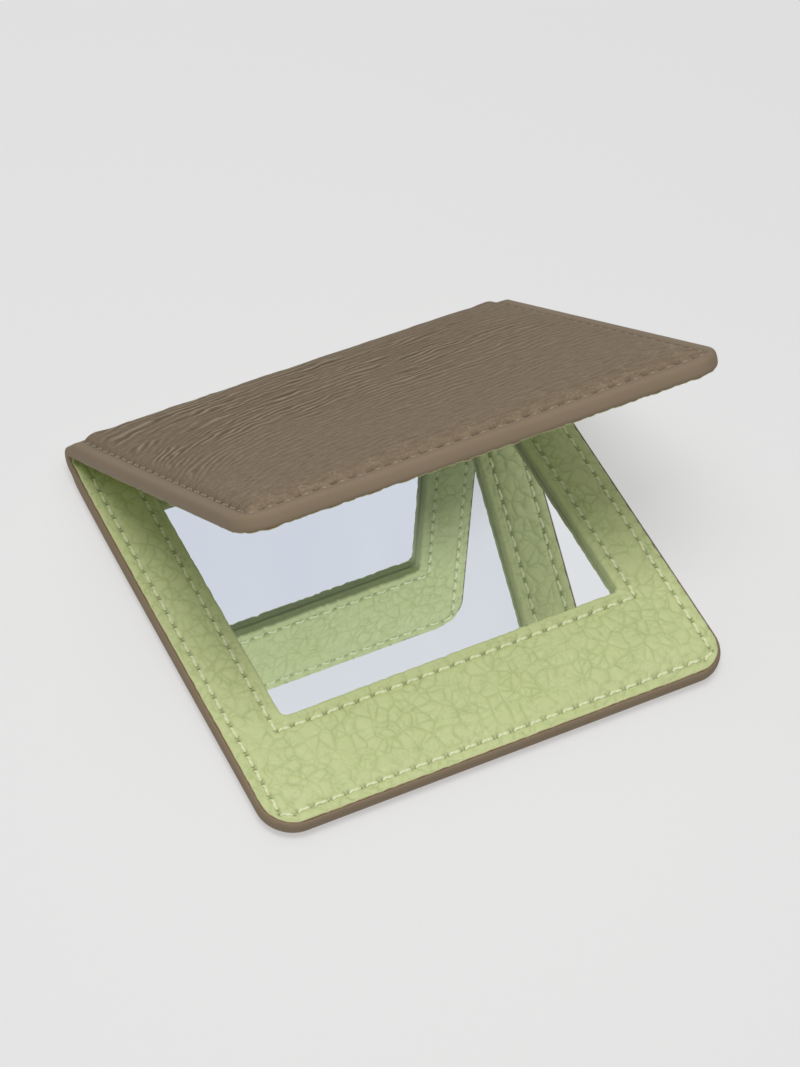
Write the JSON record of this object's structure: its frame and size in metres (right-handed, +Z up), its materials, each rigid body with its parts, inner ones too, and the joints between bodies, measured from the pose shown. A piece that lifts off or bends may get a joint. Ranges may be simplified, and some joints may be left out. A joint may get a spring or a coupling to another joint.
{
  "type": "compact mirror",
  "caption": "Leather folding compact mirror: two sewn panels, each framing a mirror behind a lined window, joined by a bending spine so that the lid closes, stands or lies flat.",
  "frame": {"origin": "middle of the box round the standing part, on the surface it rests on", "axes": "+X along the fold, +Y from the free edges towards the fold, +Z up from the base to its mirror"},
  "size_m": [0.086, 0.0851, 0.0603],
  "materials": {
    "outer_leather": "grained taupe leather, satin",
    "lining_leather": "pebbled pale green leather, satin",
    "welt_leather": "split leather strip",
    "fibreboard": "pressed fibreboard",
    "spacer_board": "die-cut board",
    "frame_card": "stiff card",
    "adhesive_sheet": "double-sided film",
    "mirror_glass": "silvered glass",
    "magnet": "nickel plated",
    "keeper_steel": "zinc plated",
    "outer_thread": "waxed polyester thread",
    "lining_thread": "waxed polyester thread",
    "spine_tape": "woven reinforcement tape"
  },
  "bodies": {
    "base": {"base_cover": "outer_leather", "base_edge_welt": "welt_leather", "base_backing_board": "fibreboard", "base_mirror_spacer": "spacer_board", "base_mirror_tape": "adhesive_sheet", "base_mirror": "mirror_glass", "base_lining_card": "frame_card", "base_lining": "lining_leather", "base_cover_stitches": "outer_thread", "base_lining_stitches": "lining_thread", "base_window_stitches": "lining_thread", "base_magnets": "magnet", "spine_cover": "outer_leather", "spine_reinforcement": "spine_tape", "spine_lining": "lining_leather"},
    "lid": {"lid_cover": "outer_leather", "lid_edge_welt": "welt_leather", "lid_backing_board": "fibreboard", "lid_mirror_spacer": "spacer_board", "lid_mirror_tape": "adhesive_sheet", "lid_mirror": "mirror_glass", "lid_lining_card": "frame_card", "lid_lining": "lining_leather", "lid_cover_stitches": "outer_thread", "lid_lining_stitches": "lining_thread", "lid_window_stitches": "lining_thread", "lid_keeper_discs": "keeper_steel"}
  },
  "joints": [
    {"name": "lid_fold", "type": "hinge", "parent": "base", "child": "lid", "pos_m": [0, 0.03745, 0.0051], "axis": [-1, 0, 0], "range_deg": [-41.4, 138.6], "deforming": ["spine_cover", "spine_reinforcement", "spine_lining"]}
  ]
}
